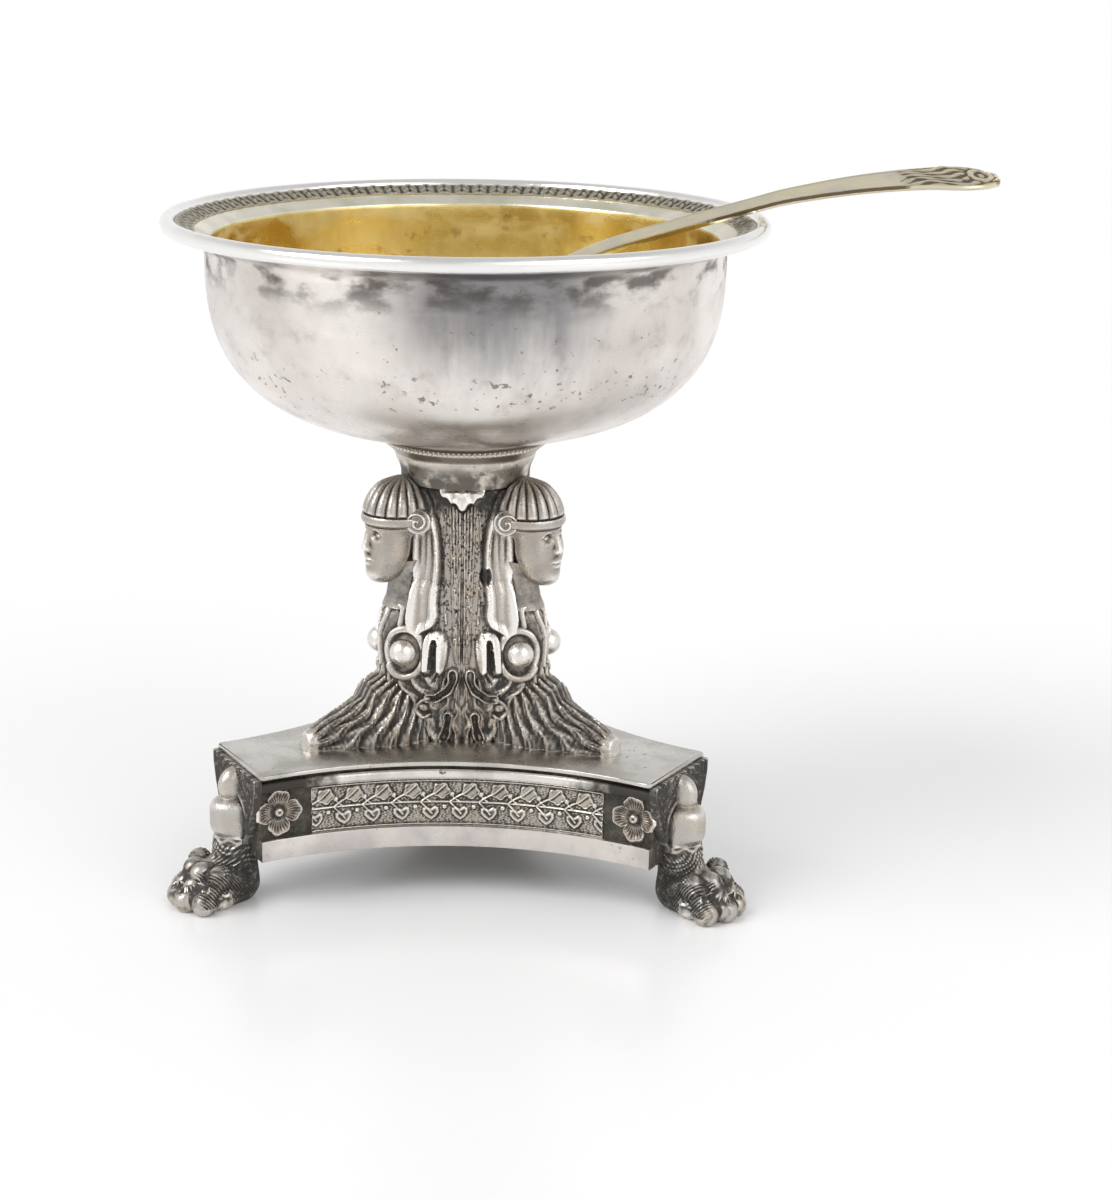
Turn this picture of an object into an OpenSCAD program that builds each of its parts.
// Footed salt cellar with its spoon: a round bowl on a column of three winged
// figures, which stands on a three-sided hollow plinth with lion-paw feet.
// Millimetres. The origin is on the table under the column's axis, +Z is up,
// and the front side of the plinth faces -Y.

/* [Bowl] */
// Width of the flange and its lip outside the upright wall
flange_w = 6.2; // [5.6:0.1:7]
// Height of the centre of the rolled lip above the table
lip_z = 98.1; // [97:0.1:101]
// Radius of the rolled lip
lip_r = 1.1; // [0.8:0.1:1.3]
// Outer radius of the bowl's upright wall
bowl_r = 37.8; // [36.5:0.1:38.2]
// Height from the bowl's lowest point to the top of its upright wall
bowl_deep = 26.8; // [26:0.2:28]
// Drop from the lip's centre to the top of the upright wall
flange_drop = 4.1; // [3.6:0.1:4.6]
// Thickness of the bowl's wall
bowl_wall = 1; // [0.8:0.1:1.3]
// Fullness of the bowl's curve: 2 is a half ellipse, more is squarer
bowl_fullness = 2.8; // [2.5:0.1:3]
// Height of the flat that the bowl's base is soldered down on
base_flat = 0.4; // [0.3:0.1:0.6]
// Drop from the lip's centre to the mouth's edge
mouth_drop = 2.2; // [1.8:0.1:2.6]
// Width of the plain band between the mouth and the leaf border
plain_band = 2.3; // [1.8:0.1:2.8]
// Thickness of the stamped leaf border
border_thick = 0.35; // [0.25:0.05:0.5]

/* [Neck] */
// Outer radius of the beaded ring under the bowl
collar_r = 12.1; // [11.5:0.1:12.6]
// Height of the beaded ring, which flares out below the bowl
collar_thick = 3.4; // [3:0.1:3.6]
// Thickness of the ring's beaded edge
collar_edge = 0.7; // [0.5:0.1:0.9]
// Radius of the seat on which the bowl rests
collar_seat_r = 9; // [8.5:0.1:9.5]
// Radius of the neck at its top
neck_top_r = 10.5; // [10.3:0.1:11]
// Radius of the neck at its bottom
neck_low_r = 9.6; // [9.2:0.1:10]
// Height of the neck
neck_h = 3.9; // [3.4:0.1:4.4]
// Wall thickness of the neck
neck_wall = 1; // [0.8:0.1:1.4]

/* [Fixing] */
// Radius of the tie rod that holds the bowl down on the plinth
rod_r = 2; // [1.6:0.1:2.2]
// Radial clearance round the rod
rod_gap = 0.15; // [0.1:0.05:0.25]
// Thickness of the washer under the plate
washer_thick = 0.8; // [0.6:0.1:1]
// Radius of the washer
washer_r = 5; // [4.6:0.1:5.6]
// Width of the nut across its flats
nut_flats = 7; // [6.5:0.1:7.5]
// Height of the nut
nut_h = 3; // [2.4:0.1:3.6]
// Length of rod that shows below the nut
rod_end = 1.2; // [0.8:0.1:1.8]

/* [Column] */
// Radius of the tube inside the column
core_r = 5.5; // [5:0.1:5.8]
// Distance from the axis to the flutes between the figures at mid height
flute_reach = 9.2; // [8.8:0.1:9.6]
// Distance from the axis to the front of a figure's breast
breast_reach = 14.4; // [13.8:0.1:15]
// Distance from the axis to the tip of a leaf toe
toe_reach = 27.2; // [26:0.2:28.4]
// Height of a head from jaw to crown
head_h = 15.6; // [15:0.1:16]
// Height of the crown above the bottom of the neck
crown_rise = 1; // [0.6:0.1:1.4]
// Distance from the axis to the headband's front
brow_reach = 16.2; // [15.8:0.1:16.6]
// Radius of the round studs on the breasts
stud_r = 1.9; // [1.6:0.1:2.1]

/* [Plinth] */
// Height of the plate's top above the table
plate_z = 21.4; // [21:0.1:22]
// Thickness of the plate
plate_thick = 0.7; // [0.6:0.1:1]
// Distance from the axis to the plate's cut corners
corner_reach = 37.2; // [36:0.2:38.4]
// Width of a cut corner
corner_w = 16.9; // [16.4:0.1:17.4]
// How far the middle of each side is hollowed in
side_hollow = 8.1; // [7.5:0.1:8.5]
// Height of the plinth's walls, with the plate
plinth_h = 13.6; // [13.2:0.1:14]
// Thickness of the wall sheet
wall_thick = 0.9; // [0.7:0.1:1]
// Setback of the wall's face behind the plate's edge
wall_setback = 1.9; // [1.7:0.1:2.1]
// Height of the plain lower band
band_h = 3.2; // [2.8:0.1:3.6]
// Setback of the lower band's face
band_setback = 0.8; // [0.6:0.1:1]
// Height of the leaf frieze
frieze_h = 7; // [6.6:0.1:7.2]
// Thickness of the frieze strip
frieze_thick = 0.4; // [0.3:0.05:0.5]
// Half the angle that the frieze spans about the side's centre of curvature
frieze_half_angle = 23.2; // [22:0.1:23.6]
// Height of the upper moulding
moulding_h = 1.5; // [1.2:0.1:1.6]
// Space between the frieze and the moulding
moulding_gap = 0.3; // [0.1:0.1:0.4]
// Setback of the moulding's face
moulding_setback = 0.9; // [0.7:0.1:1.1]

/* [Rosettes] */
// Radius of one petal
petal_r = 1.65; // [1.5:0.05:1.7]
// Thickness of a petal
petal_thick = 0.9; // [0.7:0.1:1.1]
// Radius of the button in the middle
button_r = 0.75; // [0.6:0.05:0.9]
// Angle from the middle of a side to a rosette
rosette_angle = 28.6; // [28.3:0.1:28.8]
// Height of a rosette's centre above the frieze's middle
rosette_rise = 0.5; // [0.3:0.1:0.6]

/* [Feet] */
// Distance from the axis to the tips of the front toes
paw_reach = 48.2; // [47:0.2:49.4]
// How far the heel sits in behind the shield's face
heel_inset = 3.3; // [2.8:0.1:3.8]
// Radius of a toe
toe_r = 1.9; // [1.7:0.1:2]
// Height of the paw at its knuckles
paw_h = 6.9; // [6.5:0.1:7.2]
// Thickness of the shield at the front of a leg
shield_thick = 1.3; // [1:0.1:1.5]
// Depth of the leg's block behind the ends of the walls
leg_deep = 5.5; // [5:0.1:6]
// Distance from the axis to the front of the knee
knee_reach = 42.2; // [41.4:0.1:43]

/* [Spoon] */
// Direction in which the spoon's handle points, from the +X axis
spoon_angle = 8; // [4:1:12]
// Roll of the spoon about its own length
spoon_roll = 12; // [8:1:14]
// Length of the handle outside the lip, seen from above
handle_out = 36; // [32:1:40]
// Rise of the handle outside the lip
handle_rise = 3.7; // [3:0.1:4.4]
// Distance from the axis to the tip of the spoon's bowl
spoon_tip_reach = 25; // [24:0.5:26]
// Half width of the spoon's bowl
spoon_half_w = 8.4; // [7.6:0.2:8.8]
// Half width of the handle where it crosses the lip
stem_half_w = 2.2; // [2:0.1:2.5]
// Half width of the shell-shaped end of the handle
shell_half_w = 4.6; // [4.2:0.1:5]
// Thickness of the handle
spoon_thick = 1.2; // [1:0.1:1.4]
// Depth of the spoon's bowl
spoon_deep = 3.4; // [3:0.1:3.8]

/* [Hidden] */

// One overrun for all cuts, and one seat clearance
over = 1;
seat_gap = 0.3;
// Hair clearance between surfaces that lie against each other
film = 0.02;
// Roundness of true round shapes and of the blended castings
round_fn = 96;
cast_fn = 12;
disc_fn = 40;
rib_fn = 8;

// The three corners carry the figures and the feet, the three sides the panels
left_corner_angle = 210;
right_corner_angle = 330;
back_corner_angle = 90;
front_side_angle = 270;
right_side_angle = 30;
left_side_angle = 150;
third_angle = 120;
half_turn_angle = 180;
quarter_angle = 90;

// Heights, from the table up
wall_low_z = plate_z - plinth_h;
plate_low_z = plate_z - plate_thick;
frieze_low_z = wall_low_z + band_h;
frieze_mid_z = frieze_low_z + frieze_h / 2;
moulding_low_z = frieze_low_z + frieze_h + moulding_gap;
wall_top_z = lip_z - flange_drop;
bowl_low_z = wall_top_z - bowl_deep;
base_z = bowl_low_z + base_flat;
neck_top_z = base_z - collar_thick;
neck_low_z = neck_top_z - neck_h;
column_h = neck_low_z - plate_z;
bore_r = rod_r + rod_gap;

// Plan of the plinth: an arc of one radius hollows each side
corner_half = corner_w / 2;
chord_reach = corner_reach * cos(third_angle / 2) + corner_half * sin(third_angle / 2);
chord_half = corner_reach * sin(third_angle / 2) - corner_half * cos(third_angle / 2);
side_arc_r = (chord_half * chord_half + side_hollow * side_hollow) / (2 * side_hollow);
side_arc_reach = chord_reach - side_hollow + side_arc_r;
wall_face_r = side_arc_r + wall_setback;
wall_end_setback = seat_gap + film * 5;
wall_end_reach = corner_reach - wall_end_setback;

// Bowl: points of one superellipse, from the base flat or the axis to the top
bowl_steps = 26;
function bowl_curve(r, deep, start) = [
    for (i = [0 : bowl_steps])
        let (a = start + (quarter_angle - start) * i / bowl_steps)
            [r * pow(sin(a), 2 / bowl_fullness), wall_top_z - deep * pow(cos(a), 2 / bowl_fullness)]
];
base_start = acos(pow((bowl_deep - base_flat) / bowl_deep, bowl_fullness / 2));
function reversed(list) = [for (i = [len(list) - 1 : -1 : 0]) list[i]];
inner_r = bowl_r - bowl_wall;
lip_centre_r = bowl_r + flange_w - lip_r;
mouth_z = lip_z - mouth_drop;
plain_rise_share = 0.55;
border_in_r = inner_r + plain_band;
border_in_z = mouth_z + plain_band * plain_rise_share;
lip_from_angle = -70;
lip_to_angle = 170;
lip_step_angle = 20;
border_out_r = lip_centre_r + lip_r * cos(lip_to_angle) - film * 2;
border_out_z = lip_z + lip_r * sin(lip_to_angle);

module bowl() {
    color([0.80, 0.79, 0.77])
        rotate_extrude($fn = round_fn)
            polygon(concat(
                [[0, base_z]],
                bowl_curve(bowl_r, bowl_deep, base_start),
                [
                    [bowl_r + flange_drop * 0.06, wall_top_z + flange_drop * 0.16],
                    [bowl_r + flange_drop * 0.2, wall_top_z + flange_drop * 0.3]
                ],
                [for (a = [lip_from_angle : lip_step_angle : lip_to_angle])
                    [lip_centre_r + lip_r * cos(a), lip_z + lip_r * sin(a)]],
                [[border_in_r, border_in_z], [inner_r, mouth_z]],
                reversed(bowl_curve(inner_r, bowl_deep - bowl_wall, 0))
            ));
}

module rim_border() {
    color([0.62, 0.60, 0.55])
        rotate_extrude($fn = round_fn)
            polygon([
                [border_in_r, border_in_z + film],
                [border_out_r, border_out_z + film],
                [border_out_r, border_out_z + border_thick],
                [border_in_r, border_in_z + border_thick]
            ]);
}

module bowl_collar() {
    bead = collar_edge / 2;
    bead_angle = 30;
    cove_angle = 15;
    edge_r = collar_r - bead;
    edge_top_z = neck_top_z + collar_edge;
    color([0.55, 0.54, 0.51])
        rotate_extrude($fn = round_fn)
            polygon(concat(
                [[bore_r, neck_top_z]],
                [for (a = [-quarter_angle : bead_angle : quarter_angle])
                    [edge_r + bead * cos(a), neck_top_z + bead + bead * sin(a)]],
                [for (a = [cove_angle : cove_angle : quarter_angle])
                    [edge_r - (edge_r - collar_seat_r) * sin(a), edge_top_z + (base_z - edge_top_z) * (1 - cos(a))]],
                [[bore_r, base_z]]
            ));
}

module neck() {
    cove_low_share = 0.3;
    cove_high_share = 0.65;
    cove_r = neck_low_r + (neck_top_r - neck_low_r) * 0.45;
    color([0.75, 0.73, 0.69])
        rotate_extrude($fn = round_fn)
            polygon([
                [bore_r, neck_top_z],
                [neck_top_r, neck_top_z],
                [neck_top_r - film * 4, neck_top_z - neck_h * 0.12],
                [cove_r, neck_low_z + neck_h * cove_high_share],
                [neck_low_r, neck_low_z + neck_h * cove_low_share],
                [neck_low_r, neck_low_z],
                [neck_low_r - neck_wall, neck_low_z],
                [neck_low_r - neck_wall, neck_top_z - neck_wall],
                [bore_r, neck_top_z - neck_wall]
            ]);
}

washer_z = plate_low_z - washer_thick;
nut_z = washer_z - nut_h;

module tie_rod() {
    color([0.6, 0.58, 0.52])
        translate([0, 0, nut_z - rod_end])
            cylinder(r = rod_r, h = base_z - nut_z + rod_end, $fn = round_fn);
}

module ring(outer, inner, low, high) {
    difference() {
        translate([0, 0, low])
            cylinder(r = outer, h = high - low, $fn = round_fn);
        translate([0, 0, low - over])
            cylinder(r = inner, h = high - low + 2 * over, $fn = round_fn);
    }
}

module tie_washer() {
    color([0.6, 0.58, 0.52])
        ring(washer_r, bore_r, washer_z, plate_low_z);
}

module tie_nut() {
    nut_sides = 6;
    color([0.6, 0.58, 0.52])
        difference() {
            translate([0, 0, nut_z])
                cylinder(r = nut_flats / 2 / cos(half_turn_angle / nut_sides), h = nut_h, $fn = nut_sides);
            translate([0, 0, nut_z - over])
                cylinder(r = rod_r + film, h = nut_h + 2 * over, $fn = round_fn);
        }
}

module column_tube() {
    color([0.5, 0.49, 0.46])
        ring(core_r, bore_r, plate_z, neck_low_z);
}

// A closed block between two grids of points: rows go up, columns go right,
// as seen from outside the outer grid
module block_between(outer, inner) {
    rows = len(outer);
    cols = len(outer[0]);
    last_row = rows - 1;
    last_col = cols - 1;
    base = rows * cols;
    function o(i, j) = i * cols + j;
    function n(i, j) = base + i * cols + j;
    faces = concat(
        [for (i = [0 : last_row - 1], j = [0 : last_col - 1])
            each [[o(i, j), o(i + 1, j), o(i + 1, j + 1)], [o(i, j), o(i + 1, j + 1), o(i, j + 1)]]],
        [for (i = [0 : last_row - 1], j = [0 : last_col - 1])
            each [[n(i, j), n(i + 1, j + 1), n(i + 1, j)], [n(i, j), n(i, j + 1), n(i + 1, j + 1)]]],
        [for (i = [0 : last_row - 1])
            each [[n(i, 0), n(i + 1, 0), o(i + 1, 0)], [n(i, 0), o(i + 1, 0), o(i, 0)]]],
        [for (i = [0 : last_row - 1])
            each [[n(i, last_col), o(i, last_col), o(i + 1, last_col)],
                  [n(i, last_col), o(i + 1, last_col), n(i + 1, last_col)]]],
        [for (j = [0 : last_col - 1])
            each [[n(last_row, j), n(last_row, j + 1), o(last_row, j + 1)],
                  [n(last_row, j), o(last_row, j + 1), o(last_row, j)]]],
        [for (j = [0 : last_col - 1])
            each [[n(0, j), o(0, j), o(0, j + 1)], [n(0, j), o(0, j + 1), n(0, j + 1)]]]
    );
    polyhedron([for (row = concat(outer, inner)) each row], faces);
}

// Column: a rounded triangle whose flats and corners change with height.
// Tables give [share of the column's height, share of the reach].
flute_shares = [
    [0, 0.93], [0.1, 1.0], [0.22, 1.02], [0.38, 1.0], [0.55, 0.95], [0.75, 0.93], [0.9, 0.95], [1, 0.98]
];
breast_shares = [
    [0, 0.8], [0.12, 0.86], [0.2, 0.98], [0.26, 1.0], [0.3, 0.97], [0.42, 1.0], [0.5, 0.96],
    [0.58, 0.8], [0.64, 0.68], [0.8, 0.62], [1, 0.62]
];
blend_power = 8;
function column_at(a, share) =
    let (
        flat = flute_reach * lookup(share, flute_shares) / cos(third_angle / 2 - abs(a)),
        crest = breast_reach * lookup(share, breast_shares)
    )
    pow(pow(1 / flat, blend_power) + pow(1 / crest, blend_power), -1 / blend_power);

sector_half = third_angle / 4;
seam_angle = 0.15;
column_rows = 14;
column_cols = 8;
module column_sector(middle) {
    function at(i, j) = middle + (sector_half - seam_angle) * (2 * j / column_cols - 1);
    function folded(a) = abs(a) > third_angle / 2 ? third_angle - abs(a) : abs(a);
    function wedge(r, a, share) = [r * cos(a - middle), r * sin(a - middle), plate_z + column_h * share];
    block_between(
        [for (i = [0 : column_rows]) [for (j = [0 : column_cols])
            wedge(column_at(folded(at(i, j)), i / column_rows), at(i, j), i / column_rows)]],
        [for (i = [0 : column_rows]) [for (j = [0 : column_cols])
            wedge(core_r + film, at(i, j), i / column_rows)]]
    );
}

module ball(x, y, z, r) {
    translate([x, y, z])
        sphere(r = r, $fn = cast_fn);
}

module egg(x, y, z, rx, ry, rz) {
    translate([x, y, z])
        scale([rx, ry, rz])
            sphere(r = 1, $fn = cast_fn);
}

// A round bar through a list of [x, y, z, radius] knots
module bar(knots) {
    for (i = [0 : len(knots) - 2])
        hull() {
            ball(knots[i][0], knots[i][1], knots[i][2], knots[i][3]);
            ball(knots[i + 1][0], knots[i + 1][1], knots[i + 1][2], knots[i + 1][3]);
        }
}

crown_z = neck_low_z + crown_rise;
cap_r = head_h * 0.39;
cap_x = brow_reach * 0.636;
cap_half_w = brow_reach * 0.327;
band_z = crown_z - head_h * 0.38;

cap_rib_angle = 26;

// One end of a raised rib on the striped cap
module cap_rib_end(a, z) {
    rise = (z - crown_z + cap_r) / cap_r;
    reach_share = sqrt(max(0, 1 - rise * rise));
    rib_r = brow_reach * 0.029;
    translate([
        cap_x + (brow_reach - cap_x) * reach_share * cos(a),
        cap_half_w * reach_share * sin(a),
        z
    ])
        sphere(r = rib_r, $fn = rib_fn);
}

module head() {
    face_x = cap_x + brow_reach * 0.053;
    face_deep = brow_reach * 0.284;
    face_wide = brow_reach * 0.26;
    face_high = head_h * 0.37;
    face_z = crown_z - head_h + face_high;
    egg(cap_x, 0, crown_z - cap_r, brow_reach - cap_x, cap_half_w, cap_r);
    egg(face_x, 0, face_z, face_deep, face_wide, face_high);
    hull() {
        egg(cap_x, 0, band_z, brow_reach - cap_x, cap_half_w * 1.06, head_h * 0.045);
        egg(cap_x, 0, band_z + head_h * 0.04, brow_reach - cap_x, cap_half_w * 1.06, head_h * 0.045);
    }
    hull() {
        ball(face_x + face_deep * 0.9, 0, face_z + face_high * 0.15, brow_reach * 0.024);
        ball(face_x + face_deep * 1.06, 0, face_z - face_high * 0.2, brow_reach * 0.04);
    }
    for (a = [-2 : 2])
        hull() {
            cap_rib_end(a * cap_rib_angle, band_z + head_h * 0.05);
            cap_rib_end(a * cap_rib_angle, crown_z - cap_r * 0.45);
        }
    bar([
        [cap_x - brow_reach * 0.029, 0, face_z, brow_reach * 0.164],
        [cap_x - brow_reach * 0.029, 0, crown_z - head_h * 1.2, brow_reach * 0.173]
    ]);
}

stud_x = breast_reach * 0.9;
stud_y = breast_reach * 0.325;
stud_z = plate_z + column_h * 0.385;

// Scroll, wing and stud on one side of a figure
module wing(side) {
    scroll_x = breast_reach * 0.7;
    scroll_y = side * breast_reach * 0.3;
    scroll_z = plate_z + column_h * 0.87;
    scroll_r = stud_r * 0.85;
    wing_low_z = plate_z + column_h * 0.48;
    ball(scroll_x, scroll_y, scroll_z, scroll_r);
    hull() {
        ball(scroll_x - scroll_r, scroll_y, scroll_z - scroll_r, scroll_r * 0.5);
        ball(scroll_x - scroll_r, scroll_y, scroll_z - scroll_r * 4, scroll_r * 0.8);
        ball(scroll_x, scroll_y, wing_low_z + scroll_r * 2, scroll_r);
        ball(scroll_x + scroll_r * 0.8, scroll_y, wing_low_z, scroll_r * 0.6);
    }
    ball(stud_x, side * stud_y, stud_z, stud_r);
}

// Leaf toe: a tongue that runs out over the plate.
// Shares of its length, half width and height at stations from root to tip.
toe_root = breast_reach * 0.62;
toe_half_w = breast_reach * 0.24;
toe_high = column_h * 0.25;
toe_shares = [
    [0, 1.1, 1.0], [0.3, 1.05, 0.92], [0.42, 1.0, 0.72], [0.55, 0.92, 0.58],
    [0.7, 0.78, 0.46], [0.85, 0.6, 0.32], [0.95, 0.46, 0.2], [1, 0.26, 0.1]
];
toe_edge = plate_thick * 0.6;
toe_cols = 6;
module leaf_toe() {
    function across(j) = 1 - 2 * j / toe_cols;
    block_between(
        [for (s = toe_shares) [for (j = [0 : toe_cols])
            [toe_root + (toe_reach - toe_root) * s[0], toe_half_w * s[1] * across(j),
             plate_z + toe_edge + toe_high * s[2] * sqrt(max(0, 1 - across(j) * across(j)))]]],
        [for (s = toe_shares) [for (j = [0 : toe_cols])
            [toe_root + (toe_reach - toe_root) * s[0], toe_half_w * s[1] * across(j), plate_z]]]
    );
}

// The tube's and the neck's places, cut into a head, clear them on each flat
core_cut_r = (core_r + seat_gap) / cos(half_turn_angle / cast_fn);
neck_cut_r = (neck_low_r + seat_gap) / cos(half_turn_angle / cast_fn);

// Room of a figure or a panel between its two seams
module sector_wedge() {
    wedge_long = toe_reach * 1.2;
    wedge_half_w = wedge_long * tan(sector_half - seam_angle);
    linear_extrude(height = crown_z + over)
        polygon([[0, 0], [wedge_long, -wedge_half_w], [wedge_long, wedge_half_w]]);
}

module figure(corner) {
    color([0.58, 0.56, 0.52])
        rotate([0, 0, corner])
            intersection() {
                union() {
                    column_sector(0);
                    leaf_toe();
                    wing(-1);
                    wing(1);
                    difference() {
                        head();
                        translate([0, 0, neck_low_z])
                            cylinder(r = neck_cut_r, h = head_h, $fn = cast_fn);
                        cylinder(r = core_cut_r, h = crown_z + over, $fn = cast_fn);
                    }
                }
                sector_wedge();
            }
}

module leaf_panel(side) {
    palm_z = plate_z + column_h * 0.95;
    palm_half = flute_reach * 0.4;
    palm_r = flute_reach * 0.12;
    pod_x = flute_reach * 0.98;
    pod_y = flute_reach * 0.4;
    pod_low_z = plate_z + column_h * 0.31;
    pod_high_z = plate_z + column_h * 0.42;
    pod_r = flute_reach * 0.11;
    leaf_x = flute_reach * 0.92;
    color([0.56, 0.54, 0.5])
        rotate([0, 0, side])
            intersection() {
                union() {
                    column_sector(third_angle / 2);
                    hull() {
                        ball(flute_reach, -palm_half, palm_z, palm_r);
                        ball(flute_reach, palm_half, palm_z, palm_r);
                        ball(flute_reach, 0, palm_z - palm_r * 2, palm_r);
                    }
                    for (s = [-1, 1], lobe = [-1, 1])
                        hull() {
                            ball(pod_x, s * pod_y, pod_high_z, pod_r);
                            ball(pod_x, s * pod_y + lobe * pod_r, pod_high_z - pod_r, pod_r);
                            ball(pod_x, s * pod_y + lobe * pod_r * 0.9, pod_low_z, pod_r * 0.7);
                        }
                    for (s = [-1, 0, 1])
                        hull() {
                            ball(pod_x - pod_r, s * pod_r, pod_low_z - pod_r * 2, pod_r * 0.6);
                            ball(leaf_x, s * pod_y * 0.9, plate_z + pod_r, pod_r);
                        }
                }
                sector_wedge();
            }
}

// Plan of the plate: three hollowed sides between cut corners
module triangle_block(reach, low, high) {
    translate([0, 0, low])
        linear_extrude(height = high - low)
            polygon([for (c = [left_corner_angle, right_corner_angle, back_corner_angle], s = [-1, 1])
                [reach * cos(c) - s * corner_half * sin(c), reach * sin(c) + s * corner_half * cos(c)]]);
}

module plinth_plate() {
    color([0.72, 0.71, 0.68])
        difference() {
            triangle_block(corner_reach, plate_low_z, plate_z);
            for (s = [front_side_angle, right_side_angle, left_side_angle])
                rotate([0, 0, s])
                    translate([side_arc_reach, 0, plate_low_z - over])
                        cylinder(r = side_arc_r, h = plate_thick + 2 * over, $fn = round_fn * 2);
            translate([0, 0, plate_low_z - over])
                cylinder(r = bore_r, h = plate_thick + 2 * over, $fn = round_fn);
        }
}

// A curved strip along one side: faces at two setbacks from the plate's edge
module side_strip(front, back, low, high) {
    corner_x = wall_end_reach * cos(third_angle / 2);
    corner_y = wall_end_reach * sin(third_angle / 2);
    past_x = corner_x + corner_w * sin(third_angle / 2);
    past_y = corner_y - corner_w * cos(third_angle / 2);
    intersection() {
        translate([side_arc_reach, 0, low])
            difference() {
                cylinder(r = side_arc_r + back, h = high - low, $fn = round_fn * 2);
                translate([0, 0, -over])
                    cylinder(r = side_arc_r + front, h = high - low + 2 * over, $fn = round_fn * 2);
            }
        translate([0, 0, low - over])
            linear_extrude(height = high - low + 2 * over)
                polygon([[0, 0], [corner_x, -corner_y], [past_x, -past_y], [past_x, past_y],
                         [corner_x, corner_y]]);
    }
}

module side_wall(side) {
    color([0.4, 0.39, 0.36])
        rotate([0, 0, side])
            side_strip(wall_setback, wall_setback + wall_thick, wall_low_z, plate_low_z);
}

module lower_band(side) {
    color([0.75, 0.74, 0.71])
        rotate([0, 0, side])
            side_strip(band_setback, wall_setback - film, wall_low_z, frieze_low_z - film);
}

module moulding(side) {
    lead = moulding_h * 0.2;
    color([0.7, 0.68, 0.64])
        rotate([0, 0, side])
            union() {
                side_strip(moulding_setback, wall_setback - film,
                           moulding_low_z + lead, moulding_low_z + moulding_h - lead);
                side_strip(moulding_setback + lead, wall_setback - film,
                           moulding_low_z, moulding_low_z + moulding_h);
            }
}

module frieze(side) {
    cut_reach = wall_face_r * 1.2;
    color([0.6, 0.58, 0.54])
        rotate([0, 0, side])
            intersection() {
                side_strip(wall_setback - frieze_thick, wall_setback - film,
                           frieze_low_z, frieze_low_z + frieze_h);
                translate([side_arc_reach, 0, frieze_low_z - over])
                    linear_extrude(height = frieze_h + 2 * over)
                        polygon([
                            [0, 0],
                            [-cut_reach * cos(frieze_half_angle), cut_reach * sin(frieze_half_angle)],
                            [-cut_reach * cos(frieze_half_angle), -cut_reach * sin(frieze_half_angle)]
                        ]);
            }
}

// Rosette on the wall's face near one end of a side
module rosette(side, end) {
    petal_out = petal_r * 0.97;
    color([0.6, 0.58, 0.54])
        rotate([0, 0, side])
            translate([side_arc_reach, 0, frieze_mid_z + rosette_rise])
                rotate([0, 0, half_turn_angle - end * rosette_angle])
                    translate([wall_face_r - petal_thick / 3, 0, 0])
                        rotate([0, -quarter_angle, 0])
                            union() {
                                for (q = [0 : quarter_angle : half_turn_angle + quarter_angle])
                                    rotate([0, 0, q])
                                        translate([petal_out, 0, 0])
                                            cylinder(r = petal_r, h = petal_thick, $fn = disc_fn);
                                cylinder(r = button_r, h = petal_thick * 1.6, $fn = disc_fn);
                                translate([0, -petal_r * 0.3, film * 3 - petal_thick / 3])
                                    cylinder(r = petal_r * 1.2, h = petal_thick, $fn = disc_fn);
                            }
}

// Foot: a leg block between the walls, a shield with two swellings, and a paw
leg_half = corner_half - wall_setback - wall_thick - film * 5;
leg_in = wall_end_reach - leg_deep;
shield_in = wall_end_reach + film * 5;
shield_out = shield_in + shield_thick;
shield_half = corner_half * 0.96;
leg_h = plate_low_z - wall_low_z;
shield_low_z = wall_low_z + leg_h * 0.08;
shield_top_z = plate_low_z - film;
heel_reach = shield_out - heel_inset;
knee_z = wall_low_z + leg_h * 0.38;
hip_z = wall_low_z + leg_h * 0.78;
sole_cut = toe_r * 0.2;

module shield() {
    half_shares = [[1, 1], [0.62, 0.9], [0.34, 0.7], [0, 0.36]];
    translate([shield_in, 0, 0])
        rotate([quarter_angle, 0, quarter_angle])
            linear_extrude(height = shield_thick)
                polygon(concat(
                    [for (s = half_shares)
                        [shield_half * s[1], shield_low_z + (shield_top_z - shield_low_z) * s[0]]],
                    [for (s = reversed(half_shares))
                        [-shield_half * s[1], shield_low_z + (shield_top_z - shield_low_z) * s[0]]]
                ));
}

module leg_rim(side) {
    rim = shield_thick * 0.35;
    bar([
        [shield_out, side * shield_half * 0.93, plate_low_z - rim * 1.2, rim],
        [shield_out, side * shield_half * 0.84, shield_low_z + leg_h * 0.6, rim],
        [shield_out, side * shield_half * 0.62, shield_low_z + leg_h * 0.32, rim],
        [shield_out, side * shield_half * 0.3, shield_low_z, rim]
    ]);
}

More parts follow.
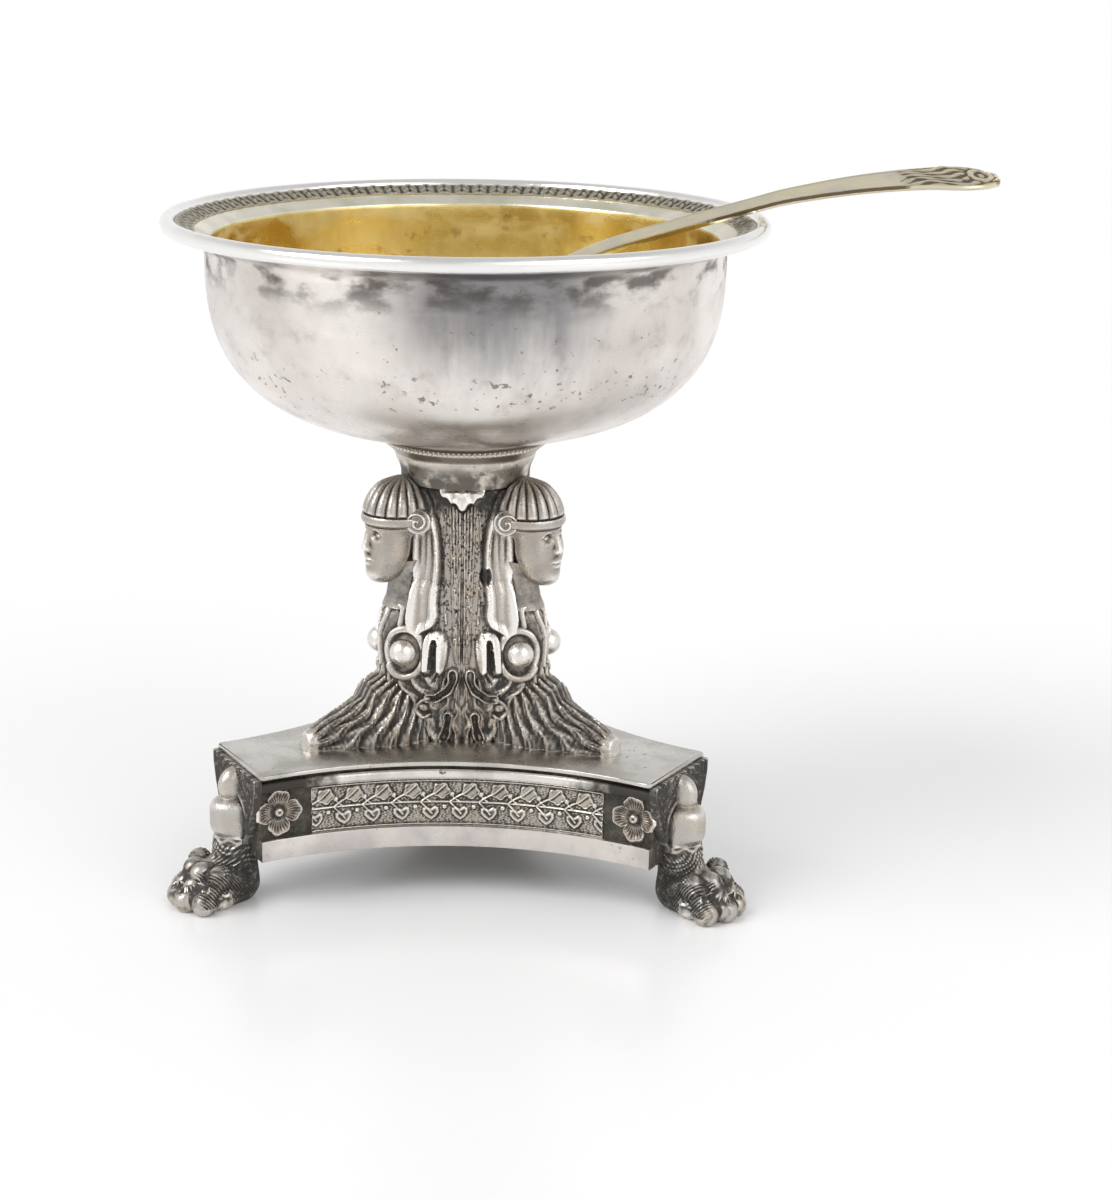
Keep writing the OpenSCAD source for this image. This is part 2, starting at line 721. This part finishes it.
paw_toe_shares = [-1.5, -0.5, 0.5, 1.5];
module paw() {
    heel_r = toe_r * 1.65;
    pad_r = toe_r * 1.6;
    pad_x = paw_reach - toe_r * 2.9;
    ankle_z = wall_low_z + leg_h * 0.1;
    toe_spread = toe_r * 1.45;
    intersection() {
        union() {
            hull() {
                ball(heel_reach + heel_r, 0, heel_r - sole_cut, heel_r);
                ball(heel_reach + heel_r * 1.05, 0, ankle_z, heel_r * 1.05);
                ball(heel_reach + heel_r * 1.3, 0, ankle_z, heel_r * 0.95);
            }
            hull() {
                ball(heel_reach + heel_r, 0, heel_r - sole_cut, heel_r);
                ball(pad_x, -toe_spread, pad_r - sole_cut, pad_r);
                ball(pad_x, toe_spread, pad_r - sole_cut, pad_r);
            }
            for (t = paw_toe_shares)
                let (back_off = abs(t) > 1 ? toe_r * 0.9 : 0)
                    hull() {
                        ball(pad_x + toe_r * 0.6 - back_off, t * toe_spread, paw_h - toe_r, toe_r);
                        ball(paw_reach - toe_r - back_off, t * toe_spread, toe_r - sole_cut, toe_r);
                    }
        }
        translate([0, -corner_w, 0])
            cube([paw_reach + over, 2 * corner_w, plate_z]);
    }
}

module foot(corner) {
    swell_x = shield_out - shield_thick / 2;
    color([0.6, 0.57, 0.53])
        rotate([0, 0, corner])
            union() {
                translate([leg_in, -leg_half, wall_low_z])
                    cube([shield_in - leg_in + shield_thick / 2, 2 * leg_half, leg_h]);
                shield();
                leg_rim(-1);
                leg_rim(1);
                intersection() {
                    union() {
                        egg(swell_x, 0, hip_z, shield_thick * 2.6, leg_half * 0.55, leg_h * 0.2);
                        egg(swell_x, 0, knee_z, knee_reach - swell_x, leg_half * 0.9, leg_h * 0.27);
                    }
                    translate([leg_in, -corner_w, 0])
                        cube([knee_reach, 2 * corner_w, shield_top_z - film]);
                }
                paw();
            }
}

// Spoon: a thin sheet along a bent centre line. Shares are of the span from
// the tip to the lip, and then of the handle outside the lip.
function inner_floor(r) = wall_top_z
    - (bowl_deep - bowl_wall) * pow(1 - pow(r / inner_r, bowl_fullness), 1 / bowl_fullness);
spoon_sheet = spoon_thick * 0.75;
tip_z = inner_floor(spoon_tip_reach) + seat_gap + spoon_sheet;
cross_z = lip_z + lip_r + seat_gap + spoon_thick / 2 + stem_half_w * sin(spoon_roll);
inside_span = lip_centre_r + spoon_tip_reach;
inside_shares = [
    [0, 0], [0.03, 0.018], [0.088, 0.058], [0.162, 0.12], [0.25, 0.21], [0.324, 0.305], [0.37, 0.38],
    [0.43, 0.48], [0.52, 0.61], [0.66, 0.768], [0.81, 0.875], [0.9, 0.935], [1, 1]
];
outside_shares = [
    [0.1, 0.25], [0.24, 0.5], [0.39, 0.72], [0.54, 0.88], [0.69, 0.98], [0.83, 1], [0.93, 0.98], [1, 0.9]
];
spoon_line = concat(
    [for (s = inside_shares) [inside_span * s[0] - spoon_tip_reach, tip_z + (cross_z - tip_z) * s[1]]],
    [for (s = outside_shares) [lip_centre_r + handle_out * s[0], cross_z + handle_rise * s[1]]]
);
// Half widths at the points of the line, as shares of the named half widths
bowl_end_shares = [0.2, 0.55, 0.88, 1, 0.92, 0.55];
stem_shares = [1, 0.9, 0.9, 0.92, 0.95, 0.98, 1, 1.08, 1.25, 1.45, 1.65];
shell_end_shares = [0.88, 1, 0.82, 0.3];
spoon_half_widths = concat(
    [for (s = bowl_end_shares) spoon_half_w * s],
    [for (s = stem_shares) stem_half_w * s],
    [for (s = shell_end_shares) shell_half_w * s]
);
dish_shares = [0, 0.5, 0.9, 1, 0.85, 0.4];
spoon_cols = 8;

module spoon() {
    last = len(spoon_line) - 1;
    function slope(i) =
        let (a = spoon_line[max(0, i - 1)], b = spoon_line[min(last, i + 1)])
            atan2(b[1] - a[1], b[0] - a[0]);
    function thick(i) = i < len(bowl_end_shares) ? spoon_sheet : spoon_thick;
    function dish(i) = i < len(dish_shares) ? spoon_deep * dish_shares[i] : 0;
    function across(j) = 1 - 2 * j / spoon_cols;
    function sheet(i, j, level) =
        let (
            v = across(j),
            lift = level - dish(i) * (1 - v * v),
            y = v * spoon_half_widths[i] * cos(spoon_roll) - lift * sin(spoon_roll),
            up = v * spoon_half_widths[i] * sin(spoon_roll) + lift * cos(spoon_roll)
        )
        [spoon_line[i][0] - up * sin(slope(i)), y, spoon_line[i][1] + up * cos(slope(i))];
    color([0.83, 0.77, 0.6])
        rotate([0, 0, spoon_angle])
            block_between(
                [for (i = [0 : last]) [for (j = [0 : spoon_cols]) sheet(i, j, thick(i) / 2)]],
                [for (i = [0 : last]) [for (j = [0 : spoon_cols]) sheet(i, j, -thick(i) / 2)]]
            );
}

bowl();
rim_border();
bowl_collar();
neck();
tie_rod();
tie_washer();
tie_nut();
column_tube();
figure(left_corner_angle);  // figure_left
figure(right_corner_angle);  // figure_right
figure(back_corner_angle);  // figure_back
leaf_panel(front_side_angle);  // leaf_panel_front
leaf_panel(right_side_angle);  // leaf_panel_right
leaf_panel(left_side_angle);  // leaf_panel_left
plinth_plate();
side_wall(front_side_angle);  // side_wall_front
side_wall(right_side_angle);  // side_wall_right
side_wall(left_side_angle);  // side_wall_left
lower_band(front_side_angle);  // lower_band_front
lower_band(right_side_angle);  // lower_band_right
lower_band(left_side_angle);  // lower_band_left
frieze(front_side_angle);  // frieze_front
frieze(right_side_angle);  // frieze_right
frieze(left_side_angle);  // frieze_left
moulding(front_side_angle);  // moulding_front
moulding(right_side_angle);  // moulding_right
moulding(left_side_angle);  // moulding_left
foot(left_corner_angle);  // foot_left
foot(right_corner_angle);  // foot_right
foot(back_corner_angle);  // foot_back
rosette(front_side_angle, -1);  // rosette_front_1
rosette(front_side_angle, 1);  // rosette_front_2
rosette(right_side_angle, -1);  // rosette_right_1
rosette(right_side_angle, 1);  // rosette_right_2
rosette(left_side_angle, -1);  // rosette_left_1
rosette(left_side_angle, 1);  // rosette_left_2
spoon();
